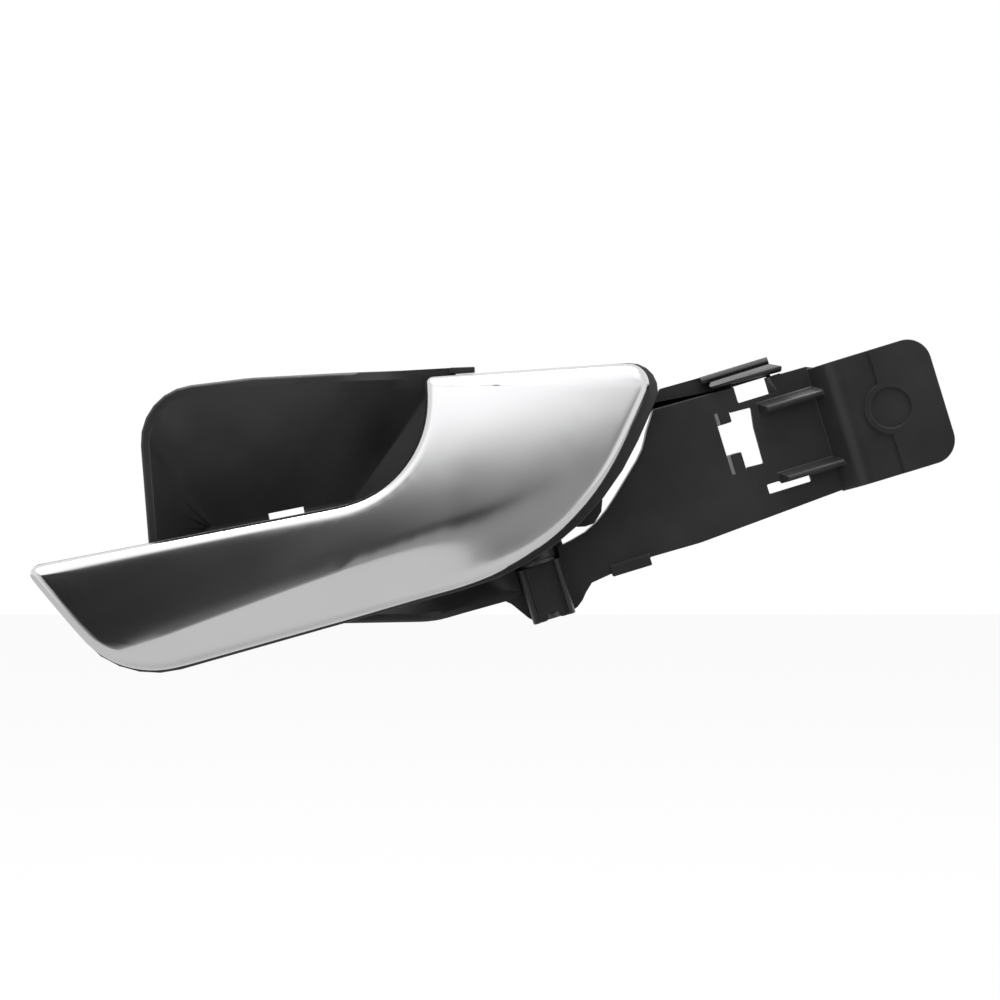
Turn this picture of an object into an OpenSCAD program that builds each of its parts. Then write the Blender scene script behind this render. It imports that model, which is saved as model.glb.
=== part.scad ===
// Interior door handle of a car: a satin lever that turns on a slanted pin in front of a finger
// cup, with a flat arm that holds the latch cable and is screwed to the door at its end pad.
// Frame: X runs along the door towards the end pad, Y into the door, Z up. The origin is the
// centre of the screw boss where it seats on the door. Sizes are millimetres.

/* [Arm] */
// Lean of the arm and of all that is square to it
arm_tilt = 17; // [12:1:22]
// Front face of the arm plate, ahead of the seat
plate_front = 9; // [8:0.5:11]
// Thickness of the arm plate
plate_wall = 2.4; // [2:0.1:3]
// Thickness of the ribs behind the plate
rib_wall = 1.6; // [1.2:0.1:2]
// Half height of the arm below its centre line
arm_low = 17; // [16:0.5:18]
// Height of the plate's upper edge above its centre line
plate_top = 15.5; // [14.5:0.5:16.5]
// Height of the set-back upper strip above the centre line
strip_top = 19.3; // [18.5:0.5:21]
// How far the upper strip lies behind the plate's front
strip_step = 4.5; // [3:0.5:5]

/* [End pad] */
// Length of the end pad along the arm
pad_length = 24.1; // [23:0.5:28]
// How far the pad's front stands ahead of the plate's front
pad_step = 7; // [5:0.5:9]
// Wall of the pad
pad_wall = 2.5; // [2:0.1:3]
// Radius of the pad's outer corners
pad_corner = 5.5; // [3:0.5:8]
// Height of the raised zone on the pad
zone_rise = 0.7; // [0.4:0.1:1]
// Radius of the round recess in the raised zone
disc_r = 4.65; // [4:0.05:5.2]
// Radius of the screw boss behind the pad
boss_r = 3.8; // [3.4:0.1:5]
// Radius of the screw hole in the boss
screw_r = 1.6; // [1.2:0.1:2]
// Depth of the screw hole
screw_depth = 9; // [6:0.5:11]

/* [Cable anchor] */
// Height of the cable line above the arm's centre line
cable_v = 3.9; // [3:0.1:5]
// How far behind the seat plane the cable runs
cable_y = 5; // [4:0.5:6]
// Clear width between the two jaws
jaw_gap = 7.2; // [6:0.1:8]
// Thickness of each jaw along the arm
jaw_wall = 2.6; // [2:0.1:3]
// Place of the jaws along the arm, from the screw boss
jaw_u = -36.2; // [-38:0.1:-35]
// Height of the anchor window
window_height = 14.6; // [13:0.1:16]
// Width of the anchor window
window_width = 8; // [7:0.1:10]

/* [Pivot] */
// Distance of the pivot axis from the screw boss, along the arm
pivot_u = 87.1; // [85:0.5:89]
// How far ahead of the seat plane the pivot axis lies
pivot_front = 11; // [10.5:0.1:11.5]
// Radius of the pivot pin
pin_r = 2; // [1.5:0.1:2.2]
// Running clearance of the bushes on the pin
pin_play = 0.03; // [0.02:0.01:0.06]
// Wall of the bushes in the lever
bush_wall = 1; // [0.8:0.1:1.2]
// Radius of the bearing bosses
bearing_r = 4.3; // [4:0.1:4.6]
// Full swing of the lever
travel = 40; // [30:1:42]

/* [Finger cup] */
// How far the cup's rim stands ahead of the seat plane
rim_front = 15; // [13:0.5:16]
// How far the bottom of the cup lies behind the seat plane
cup_depth = 2; // [0:0.5:5]
// Wall of the cup
cup_wall = 2; // [1.6:0.1:2.4]
// Radius of the cup's upper outer corner
cup_corner = 13; // [8:0.5:16]

/* [Lever] */
// How far the lever's face stands ahead of the seat plane
lever_front = 25; // [24.5:0.5:27]
// Radius of the rounding round the lever's face
edge_r = 2.4; // [1.5:0.1:3]
// Wall of the lever's cover
cover_wall = 2.2; // [1.8:0.1:2.6]
// Depth of the cover's skirt behind its face
skirt = 4.5; // [4:0.1:5]
// Thickness of the carrier's flange behind the skirt
flange = 2; // [1.5:0.1:2.4]
// Radius of the belly that leans the upper face back
belly_r = 95; // [80:5:160]
// Radius in which the tail bends back towards the arm
tail_r = 300; // [250:10:500]
// Slope of the lower facet
facet_angle = 26; // [15:1:30]
// Softness of the crease between face and facet
crease_soft = 1; // [0.5:0.5:4]
// Share by which the facet flattens towards the pivot
facet_fade = 0.6; // [0:0.1:0.8]
// Radius of the hollow where the blade meets the sail
neck_r = 24.3; // [20:0.1:26]

/* [Return spring] */
// Thickness of the spring wire
wire_d = 1.2; // [1:0.1:1.3]
// Number of coils
coils = 3.25; // [2.25:1:4.25]

/* [Hidden] */
$fn = 48;

black = [0.07, 0.07, 0.075];
satin = [0.72, 0.72, 0.73];
steel = [0.55, 0.56, 0.58];
rubber = [0.04, 0.04, 0.04];
fit = 0.02;
seat_gap = 0.25;

// Plain vector helpers
function lerp(a, b, t) = a + (b - a) * t;
function unit(v) = v / norm(v);
function left_of(v) = [-v[1], v[0]];
function ease(t) = let (c = min(1, max(0, t))) c * c * (3 - 2 * c);
function cross2(a, b) = a[0] * b[1] - a[1] * b[0];

// Where two lines meet, each given by a point and a direction
function meet(p, a, q, b) = p + a * cross2(q - p, b) / cross2(a, b);

// Corner i of a counter-clockwise outline whose sides have all moved inwards by its inset
function moved_corner(v, inset, i) =
    let (n = len(v),
         a = unit(v[i] - v[(i + n - 1) % n]),
         b = unit(v[(i + 1) % n] - v[i]),
         da = inset[(i + n - 1) % n],
         db = inset[i])
    meet(v[i] + left_of(a) * da, a, v[i] + left_of(b) * db, b);

// Points of the round corner i, from where it starts to where it ends
function corner_arc(v, r, i, steps) =
    let (n = len(v),
         a = unit(v[i] - v[(i + n - 1) % n]),
         b = unit(v[(i + 1) % n] - v[i]),
         turn = asin(max(-1, min(1, cross2(a, b)))),
         full = a * b < 0 ? sign(turn) * 180 - turn : turn,
         reach = r * tan(abs(full) / 2),
         start = v[i] - a * reach,
         hub = start + left_of(a) * r * sign(full))
    [for (k = [0:steps])
        let (w = full * k / steps, s = start - hub)
        hub + [s[0] * cos(w) - s[1] * sin(w), s[0] * sin(w) + s[1] * cos(w)]];

// A closed outline with round corners: arcs[i] steps on corner i, sides[i] steps on the side after it
function outline(v, r, arcs, sides, inset, least = 0.15) =
    let (n = len(v),
         turn = [for (i = [0:n - 1])
             sign(cross2(v[i] - v[(i + n - 1) % n], v[(i + 1) % n] - v[i]))],
         moved = [for (i = [0:n - 1]) moved_corner(v, inset, i)],
         round = [for (i = [0:n - 1])
             max(least, r[i] - turn[i] * (inset[i] + inset[(i + n - 1) % n]) / 2)],
         corners = [for (i = [0:n - 1]) corner_arc(moved, round[i], i, arcs[i])])
    [for (i = [0:n - 1])
        let (from = corners[i][arcs[i]], to = corners[(i + 1) % n][0])
        each concat(corners[i], [for (k = [1:1:sides[i] - 1]) lerp(from, to, k / sides[i])])];

// A flat piece drawn in X and Z, from a depth y into the door
module sheet(y, thick)
    translate([0, y + thick, 0]) rotate([90, 0, 0]) linear_extrude(thick) children();

// Everything that is square to the arm
module in_arm() rotate([0, -arm_tilt, 0]) children();
module at_pivot() in_arm() translate([-pivot_u, -pivot_front, 0]) children();
module box(low, high) translate(low) cube(high - low);

function to_frame(p) = [p[0] * cos(arm_tilt) - p[1] * sin(arm_tilt),
                        p[0] * sin(arm_tilt) + p[1] * cos(arm_tilt)];
function to_arm(p) = [p[0] * cos(arm_tilt) + p[1] * sin(arm_tilt),
                      -p[0] * sin(arm_tilt) + p[1] * cos(arm_tilt)];

// Lever outline in X and Z: tip, lower tip, lower bend, end of the sail, top of the neck, neck
lever_points = [[-196.4, -36.3], [-174, -62.4], [-71.8, -33.7], [-51.7, 10.8], [-105.9, 7.1],
                [-105.6, -18.7]];
lever_round = [2, 20, 60, 5, 1.8, neck_r];
lever_arcs = [4, 5, 7, 6, 4, 11];
lever_sides = [3, 11, 2, 6, 1, 17];
// How far the carrier stands out beyond the cover, on each side of the outline
flare = [0.2, 0.6, 2.3, 0.1, 0.1, 0.1];
side_steps = 33;
end_steps = 11;

function lever_ring(inset) =
    let (o = outline(lever_points, lever_round, lever_arcs, lever_sides, inset), n = len(o),
         half = lever_arcs[0] / 2)
    [for (k = [0:n - 1]) o[(k + half) % n]];
function even_ring(d) = lever_ring([for (i = [0:5]) d]);

// Crease between face and facet, from a point on it
crease_from = [-173.8, -55.2];
crease_angle = 20.35;
belly_from = 7.5;
sail_lean = 0.145;
lean_from = -146;
lean_to = -86;
tail_from = -105;
bow_from = -100;
fade_from = -117;
fade_to = -68;
bow_slope = 0.04;

function below_crease(p) = (p[0] - crease_from[0]) * sin(crease_angle)
                           - (p[1] - crease_from[1]) * cos(crease_angle);
function facet(q) = tan(facet_angle) * (sqrt(q * q + crease_soft * crease_soft) + q) / 2;
function facet_share(p) = 1 - facet_fade * ease((p[0] - fade_from) / (fade_to - fade_from));

// Height of a point above the crease
function above_crease(p) = p[1] - crease_from[1] - (p[0] - crease_from[0]) * tan(crease_angle);

// Depth of the lever's face at a point of the X, Z plane
function face_y(p) =
    let (h = above_crease(p), lean = sail_lean * ease((p[0] - lean_from) / (lean_to - lean_from)))
    -lever_front + lean * h + pow(max(0, h - belly_from), 2) / (2 * belly_r)
    + pow(max(0, p[0] - tail_from), 2) / (2 * tail_r)
    + facet(below_crease(p)) * facet_share(p) - bow_slope * max(0, bow_from - p[0]);

// Depth of the rounding at a distance in from the outline
function rounding(d) = d >= edge_r ? 0 : edge_r - sqrt(edge_r * edge_r - pow(edge_r - d, 2));

function raised(ring, extra) = [for (p = ring) [p[0], face_y(p) + extra, p[1]]];

// Share of the way from the low side to the high side at which row j lies: one row runs on the crease
crease_row = 4;
function row_share(low, high, j) =
    let (a = below_crease(low), b = below_crease(high), c = min(0.6, max(0.2, a / (a - b))))
    j < crease_row ? c * j / crease_row : lerp(c, 1, (j - crease_row) / (end_steps - crease_row));

// Inner grid between the two long sides of a ring: one row of points for each step along it
function grid_rows(ring, extra) =
    [for (i = [1:side_steps - 1])
        let (low = ring[i], high = ring[(len(ring) - i) % len(ring)])
        [for (j = [1:end_steps - 1])
            let (p = lerp(low, high, row_share(low, high, j))) [p[0], face_y(p) + extra(p, i, j), p[1]]]];

// Index of the grid's point i, j when its ring starts at r and its inner rows at g
function grid_index(i, j, n, r, g) =
    i == 0 ? r
    : i == side_steps ? r + side_steps + j
    : j == 0 ? r + i
    : j == end_steps ? r + (n - i) % n
    : g + (i - 1) * (end_steps - 1) + j - 1;

function quad(a, b, c, d) = [if (a != b && b != c && a != c) [a, b, c],
                             if (a != c && c != d && a != d) [a, c, d]];
function turned(faces, flip) = flip ? [for (f = faces) [f[0], f[2], f[1]]] : faces;

function grid_faces(n, r, g, flip) =
    turned([for (i = [0:side_steps - 1], j = [0:end_steps - 1])
        each quad(grid_index(i, j, n, r, g), grid_index(i + 1, j, n, r, g),
                  grid_index(i + 1, j + 1, n, r, g), grid_index(i, j + 1, n, r, g))], flip);

// Bands between rings that follow each other in the point list
function band_faces(n, rings) =
    [for (k = [0:rings - 2], i = [0:n - 1])
        each quad(k * n + i, (k + 1) * n + i, (k + 1) * n + (i + 1) % n, k * n + (i + 1) % n)];

// A shell over the lever's outline: rings from the middle of the back, round the edge, to the front
module lever_shell(rings, back_extra, front_extra, back_ring, front_ring) {
    n = len(rings[0]);
    back_rows = grid_rows(back_ring, back_extra);
    front_rows = grid_rows(front_ring, front_extra);
    flat_rings = [for (r = rings) each r];
    back_from = len(flat_rings);
    front_from = back_from + len(back_rows) * (end_steps - 1);
    polyhedron(
        points = concat(flat_rings, [for (r = back_rows) each r], [for (r = front_rows) each r]),
        faces = concat(band_faces(n, len(rings)),
                       grid_faces(n, 0, back_from, false),
                       grid_faces(n, (len(rings) - 1) * n, front_from, true)));
}

face_insets = [0, 0.2, 0.6, 1.25, edge_r];

// Screws between cover and carrier, as points of the X, Z plane
screw_points = [[-70, -5], [-140, -41]];
post_r = 3;
post_end = skirt - 0.3;
screw_seat = 0.9;
screw_head_r = 2.8;

// A round piece standing behind the lever's face at a point, between two depths from the face
module post(p, r, from, to)
    translate([p[0], face_y(p) + from, p[1]]) rotate([-90, 0, 0]) cylinder(r = r, h = to - from);

module lever_cover() color(satin) {
    inner = even_ring(cover_wall);
    front = even_ring(edge_r);
    difference() {
        union() {
            lever_shell(
                concat([raised(inner, cover_wall), raised(inner, skirt), raised(even_ring(0), skirt)],
                       [for (d = face_insets) raised(even_ring(d), rounding(d))]),
                function(p, i, j) cover_wall, function(p, i, j) 0, inner, front);
            for (p = screw_points) post(p, post_r, cover_wall - 0.8, post_end);
        }
        for (p = screw_points) post(p, thread_r, cover_wall + 0.3, post_end + 1);
    }
}

// Stations along the pivot axis, as heights above the arm's centre line
low_lug = [-23.7, -10.8];
top_lug = [19, 24];
low_hub = [-9.9, 6.6];
top_hub = [13.4, 18];
hub_r = bearing_r;
bush_r = pin_r + pin_play + bush_wall;
bush_flange = 0.8;
bush_length = 8;
cable_arm_half = 3;
cable_arm_thick = 5;
cable_arm_r = pivot_front + cable_y;
nipple_r = 3.05;
wire_slot = 1.8;
carrier_back = skirt + flange;
thread_r = 1.25;
shank_r = 1.6;

// Distance from the lever's face at a height on the pivot axis
function axis_face(v) = face_y(to_frame([-pivot_u, v]));

// Where the flat pads behind the carrier end, clear of its slanting back
pad_r = 2.3;
function rest_pad(v) =
    max([for (a = [0:45:315])
        face_y(to_frame([-rest_u + pad_r * cos(a), v + pad_r * sin(a)]))]) + carrier_back + 0.2;
function rest_back(v) = rest_pad(v) + 0.2;

// Web that joins the carrier to a hub between two heights
module hub_web(low, high)
    translate([hub_r, 0, 0]) rotate([0, -90, 0]) linear_extrude(2 * hub_r)
        polygon(concat([for (k = [0:4])
            let (v = lerp(low, high, k / 4)) [v, pivot_front + axis_face(v) + carrier_back - 1]],
            [[high, 0], [low, 0]]));

module cable_arm() {
    translate([0, 0, cable_v - cable_arm_thick / 2]) rotate([0, 0, -travel / 2]) difference() {
        union() {
            box([-cable_arm_half, 0, 0], [cable_arm_half, cable_arm_r, cable_arm_thick]);
            translate([0, cable_arm_r, 0]) cylinder(r = nipple_r + 1.6, h = cable_arm_thick);
        }
        translate([0, cable_arm_r, -1]) cylinder(r = nipple_r, h = cable_arm_thick + 2);
        translate([0, cable_arm_r - wire_slot / 2, -1])
            cube([nipple_r + 3, wire_slot, cable_arm_thick + 2]);
    }
}

// Nose behind the flange that closes most of the gap to the arm plate, on a foot from the flange
nose_root = pivot_front + face_y(to_frame([8 - pivot_u, 1.5])) + carrier_back - 0.3;
nose_front = -3.4;
module stop_nose() {
    translate([0, nose_front, 0]) rotate([-90, 0, 0]) linear_extrude(3.2) mirror([0, 1])
        polygon([[8, 1.5], [10.8, -5.1], [12.8, -5.6], [15, -5.5], [17.3, -3.4], [18.4, -0.8], [17.2, 2.5],
                 [12, 5]]);
    translate([0, nose_root, 0]) rotate([-90, 0, 0]) linear_extrude(nose_front + 0.2 - nose_root) mirror([0, 1])
        polygon([[8.4, 1.5], [9, 0.1], [14, -1.8], [16, 2], [12, 4.4]]);
}

module lever_core() color(black) difference() {
    union() {
        inside = cover_wall + seat_gap;
        inner = even_ring(inside);
        wide = lever_ring([for (f = flare) -f]);
        lever_shell([raised(inner, carrier_back), raised(wide, carrier_back),
                     raised(wide, skirt + seat_gap), raised(inner, skirt + seat_gap),
                     raised(inner, inside)],
                    function(p, i, j) carrier_back, function(p, i, j) inside, inner, inner);
        in_arm() for (v = rest_heights)
            translate([-rest_u, rest_pad(v) - 3, v]) rotate([-90, 0, 0]) cylinder(r = pad_r, h = 3);
        at_pivot() {
            translate([0, 0, low_hub[0]]) cylinder(r = hub_r, h = low_hub[1] - low_hub[0]);
            translate([0, 0, top_hub[0]]) cylinder(r = hub_r, h = top_hub[1] - top_hub[0]);
            hub_web(-4.4, low_hub[1]);
            hub_web(top_hub[0], top_hub[1]);
            cable_arm();
            stop_nose();
            translate([spring_reach - 4, 0, 0])
                box([0, wire_d / -2 - coil_r - 0.15 - 2.6, spring_top - 1.5],
                    [4, wire_d / -2 - coil_r - 0.15, spring_top + 1.5]);
        }
    }
    at_pivot() {
        translate([0, 0, low_hub[0] - 1]) cylinder(r = bush_r + fit, h = bush_length + 1.3);
        translate([0, 0, low_hub[0] - 1]) cylinder(r = pin_r + 0.5, h = top_hub[1] - low_hub[0] + 2);
        translate([0, 0, top_hub[0] - 0.1]) cylinder(r = bush_r + fit, h = top_hub[1] - top_hub[0] + 1);
        translate([0, 0, low_hub[1]]) cylinder(r = hub_r + 0.5, h = top_hub[0] - low_hub[1]);
        translate([0, 0, top_hub[1]]) cylinder(r = hub_r + 0.8, h = 9);
    }
    for (p = screw_points) {
        post(p, post_r + 0.3, 0, post_end + 0.3);
        post(p, shank_r, 0, carrier_back + 2);
        post(p, screw_head_r + 0.3, carrier_back - screw_seat, carrier_back + 4);
    }
}

// A screw under the carrier, with its thread in the cover's post
module cover_screw(p) color(steel) {
    head = carrier_back - screw_seat + fit;
    post(p, thread_r - fit, cover_wall + 0.8, head + 0.5);
    difference() {
        post(p, screw_head_r, head, head + 1.7);
        translate([p[0], face_y(p) + head + 0.8, p[1]])
            for (a = [0, 90]) rotate([0, a, 0]) translate([-1.5, 0, -0.4]) cube([3, 2, 0.8]);
    }
}
module cover_screw_upper() cover_screw(screw_points[0]);
module cover_screw_lower() cover_screw(screw_points[1]);

// Pivot pin with its head in the lower lug and a groove for the ring
head_r = 2.8;
head_thick = 1.2;
clip_from = top_lug[1] + 0.2;
clip_thick = 0.8;
groove_r = 1.5;

module pivot_pin() color(steel) at_pivot() difference() {
    union() {
        translate([0, 0, low_lug[0] + 0.2]) cylinder(r = head_r, h = head_thick);
        translate([0, 0, low_lug[0] + 0.2]) cylinder(r = pin_r, h = clip_from + 1.3 - low_lug[0]);
        translate([0, 0, clip_from + 1.5]) cylinder(r1 = pin_r, r2 = pin_r - 0.4, h = 0.4);
    }
    translate([0, 0, clip_from - 0.05]) difference() {
        cylinder(r = pin_r + 1, h = clip_thick + 0.1);
        cylinder(r = groove_r, h = clip_thick + 0.1);
    }
}

module pin_clip() color(steel) at_pivot() translate([0, 0, clip_from]) difference() {
    cylinder(r = 3.4, h = clip_thick);
    translate([0, 0, -1]) cylinder(r = groove_r + fit, h = clip_thick + 2);
    translate([-1.2, 0, -1]) cube([2.4, 5, clip_thick + 2]);
    for (a = [-35, 215]) rotate([0, 0, a]) translate([2.1, 0, -1]) cylinder(r = 0.5, h = clip_thick + 2);
}

module bush(up, length) {
    base = up ? top_hub[1] + bush_flange + 0.05 : low_hub[0] - bush_flange - 0.05;
    at_pivot() translate([0, 0, base]) rotate([up ? 180 : 0, 0, 0]) difference() {
        union() {
            cylinder(r = hub_r - 0.4, h = bush_flange);
            cylinder(r = bush_r, h = length);
        }
        translate([0, 0, -1]) cylinder(r = pin_r + pin_play, h = length + 2);
    }
}
module bush_upper() color([0.62, 0.6, 0.52]) bush(true, top_hub[1] - top_hub[0] + bush_flange - 0.1);
module bush_lower() color([0.62, 0.6, 0.52]) bush(false, bush_length);

// Spring wire: a leg from the housing, the coils round the pin, a leg to the carrier
coil_r = 3.6;
wire_pitch = wire_d + 0.12;
spring_v = (low_hub[1] + top_hub[0]) / 2;
spring_low = spring_v - coils * wire_pitch / 2;
spring_top = spring_v + coils * wire_pitch / 2;
spring_reach = 14;
leg_back = 10;
coil_steps = 26;

spring_path = concat(
    [[-coil_r, leg_back, spring_low], [-coil_r, leg_back / 2, spring_low]],
    [for (k = [0:floor(coils * coil_steps)])
        let (a = 180 + 360 * k / coil_steps)
        [coil_r * cos(a), coil_r * sin(a), spring_low + wire_pitch * k / coil_steps]],
    [[spring_reach / 2, -coil_r, spring_top], [spring_reach, -coil_r, spring_top]]);

module wire(path, r, sides) {
    n = len(path);
    aim = [for (i = [0:n - 1]) unit(path[min(i + 1, n - 1)] - path[max(i - 1, 0)])];
    points = [for (i = [0:n - 1])
        let (b = unit(cross(aim[i], [0, 0, 1])), c = cross(aim[i], b))
        for (k = [0:sides - 1])
            path[i] + r * (b * cos(360 * k / sides) + c * sin(360 * k / sides))];
    polyhedron(points = points, faces = concat(
        [[for (k = [0:sides - 1]) k]],
        [[for (k = [0:sides - 1]) n * sides - 1 - k]],
        [for (i = [0:n - 2], k = [0:sides - 1])
            each quad(i * sides + k, (i + 1) * sides + k,
                      (i + 1) * sides + (k + 1) % sides, i * sides + (k + 1) % sides)]));
}
module return_spring() color(steel) at_pivot() wire(spring_path, wire_d / 2, 8);

// Finger cup: outer corners of its rim in X and Z, from the lower right one round the top
wall_behind_pivot = 5.4;
wall_u = pivot_u + wall_behind_pivot;
wall_top = to_frame([-wall_u, 38.1]);
cup_points = [to_frame([-wall_u, -16.9]), wall_top, [-146, 6.9], [-171.9, 3.7],
              [-167.6, -50], [-104, -48.9]];
cup_round = [1, 1, 60, cup_corner, 10, 25];
cup_arcs = [1, 1, 4, 6, 6, 4];
cup_sides = [6, 8, 2, 5, 10, 4];
groove_ends = [[-158.3, -28.1], [-123.2, -21.1]];
groove_half = 0.6;
land = 3.5;
land_front = 9.5;
low_rim_drop = 2.5;
rim_lip = 3;
rim_fall_u = wall_u + 25.5;
top_lip_front = land_front + 0.9;

function cup_ring(inset) =
    outline(cup_points, cup_round, cup_arcs, cup_sides, inset, 1);
groove_aim = unit(groove_ends[1] - groove_ends[0]);

// Point of the groove's rounded strip that a point of the rim leads to
function groove_point(p, half) =
    let (along = (p - groove_ends[0]) * groove_aim,
         share = min(1, max(0, (along + 10) / 54)),
         q = lerp(groove_ends[0], groove_ends[1], share))
    q + unit(p - q) * half;
function rim_y(p) =
    let (a = to_arm(p),
         front = -rim_front + low_rim_drop * ease((18 - a[1]) / 22))
    lerp(front, -land_front, ease((a[0] + rim_fall_u) / 14));
function cup_level(p, t) =
    lerp(rim_y(p), cup_depth, 1 - pow(1 - t, 1.25));

cup_steps = [0, 0.1, 0.35, 0.65, 1];

module cup() {
    outer = cup_ring([for (i = [0:5]) 0]);
    inner = cup_ring([land, cup_wall, cup_wall, cup_wall, cup_wall, cup_wall]);
    n = len(outer);
    inside = [for (k = [4:-1:0]) [for (p = inner)
        let (t = cup_steps[k], q = lerp(p, groove_point(p, groove_half), t))
        [q[0], cup_level(p, t), q[1]]]];
    outside = [for (k = [0:4]) [for (p = outer)
        let (t = cup_steps[k], q = lerp(p, groove_point(p, groove_half + cup_wall), t))
        [q[0], cup_level(p, t) + (k == 0 ? rim_lip : cup_wall * 1.2), q[1]]]];
    rings = concat(inside, [[for (p = outer) [p[0], rim_y(p), p[1]]]], outside);
    points = [for (r = rings) each r];
    polyhedron(points = points, faces = concat(
        [[for (i = [0:n - 1]) n - 1 - i]],
        turned(band_faces(n, len(rings)), true),
        [[for (i = [0:n - 1]) (len(rings) - 1) * n + i]]));
}

// The arm plate's outline in the arm's own axes, from the pad's foot round by the lug
pad_left = 12.1 - pad_length;
pad_top = 14;
pad_low = -15.2;
plate_points = concat(
    [[-15, -14.9], [-28, -15.8], [-50, -arm_low]],
    [for (q = [[25.1, 0.2 - arm_low], [15.1, -17.9], [10.6, -18.5], [8.6, -20.3], [7.4, -21.7], [5.9, -22.8],
               [3.6, low_lug[0]], [-2.8, low_lug[0]],
               [-4.4, -23], [-5.7, -22], [-8.5, -17.8], [-9.6, -16.8], [-10.9, -16.3],
               [-wall_behind_pivot - 5.5, -15], [-wall_behind_pivot - 1, -14.5],
               [-wall_behind_pivot - 1, low_lug[1]], [hub_r + 0.9, low_lug[1]], [hub_r + 1.1, -8.4]])
        [q[0] - pivot_u, q[1]]],
    [for (q = [[9.1, -7.7], [12.5, -6.9], [15.6, -5.5], [18.7, -3.4], [21.7, -0.9], [25.3, 2.3],
               [28.8, 5.5], [30.7, 7.6], [31.9, 9.5], [32.9, 11.3], [34.5, 13.6], [35.7, plate_top]])
        [q[0] - pivot_u, q[1]]],
    [[-15, plate_top - 0.8], [-9, pad_top - 2], [-9, pad_low + 2]]);

bar_rise = 3;
window_low = cable_v - 8.1;
window_left = jaw_u - jaw_wall / 2 - 0.8;
module windows() {
    polygon([[window_left, window_low], [window_left + 3.6, window_low], [window_left + 3.6, window_low + 0.7],
             [window_left + window_width - 0.4, window_low + 0.5],
             [window_left + window_width - 0.3, window_low + 5], [window_left + window_width - 0.2, window_low + 9],
             [window_left + window_width + 0.5, window_low + 13.6],
             [window_left + 3.6, window_low + 13.8], [window_left + 3.6, window_low + window_height],
             [window_left, window_low + window_height]]);
    polygon([[-32.2, 11.2], [-22.8, 11.2], [-23.9, 15.2], [-32.2, 15.2]]);
    translate([-31.4, -10.9]) square([10, 2.2]);
}

// Pad outline: its outer corners are round
module pad_shape(inset) offset(delta = -inset) union() {
    translate([pad_left, pad_low]) square([pad_length - pad_corner, pad_top - pad_low]);
    translate([pad_left, pad_low + pad_corner]) square([pad_length, pad_top - pad_low - 2 * pad_corner]);
    for (v = [pad_low + pad_corner, pad_top - pad_corner])
        translate([pad_left + pad_length - pad_corner, v]) circle(pad_corner);
}

module pad() {
    front = -plate_front - pad_step;
    difference() {
        union() {
            sheet(front, -front) pad_shape(0);
            translate([0, 0, pad_low]) linear_extrude(pad_top - pad_low)
                polygon([[pad_left + 1, front + 1.5], [pad_left, front + 2], [pad_left - 0.5, front + 3.2],
                         [pad_left - 3, -plate_front], [pad_left - 3, plate_wall - plate_front],
                         [pad_left + 1, plate_wall - plate_front]]);
            sheet(front - zone_rise, zone_rise + 0.5) difference() {
                union() {
                    intersection() {
                        pad_shape(0);
                        translate([-1.3, -30]) square([30, 60]);
                    }
                    circle(disc_r + 1.4);
                }
                circle(disc_r);
            }
        }
        sheet(front + pad_wall, 30) pad_shape(rib_wall);
        // Rounded shoulder where the slope meets the pad's front
        translate([0, 0, pad_low - 1]) linear_extrude(pad_top - pad_low + 2)
            polygon([[pad_left - 6, front - 2], [pad_left + 4.2, front - 2], [pad_left + 4.2, front],
                     [pad_left + 2.6, front + 0.2], [pad_left + 1.1, front + 0.8], [pad_left, front + 2],
                     [pad_left - 0.5, front + 3.2], [pad_left - 6, front + 3.2]]);
    }
    difference() {
        translate([0, front + 1, 0]) rotate([-90, 0, 0]) cylinder(r = boss_r, h = -front - 1);
        translate([0, -screw_depth, 0]) rotate([-90, 0, 0]) cylinder(r = screw_r, h = screw_depth + 1);
    }
    for (v = [pad_low + 0.5, boss_r - 1])
        box([-rib_wall / 2, front + 1, v], [rib_wall / 2, -1.5, v + pad_top - boss_r]);
}

// A jaw from its root at the window's edge to the cable's sheath, with a slanting outer side
module jaw(root, tip)
    translate([jaw_u + jaw_wall / 2, 0, 0]) rotate([0, -90, 0]) linear_extrude(jaw_wall)
        polygon([[root, -plate_front], [root + sign(root - tip) * 2, plate_wall - plate_front],
                 [root + sign(root - tip) * 2, 0], [root, cable_y + 3.2], [tip, cable_y + 3.2],
                 [tip, -plate_front]]);

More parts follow.
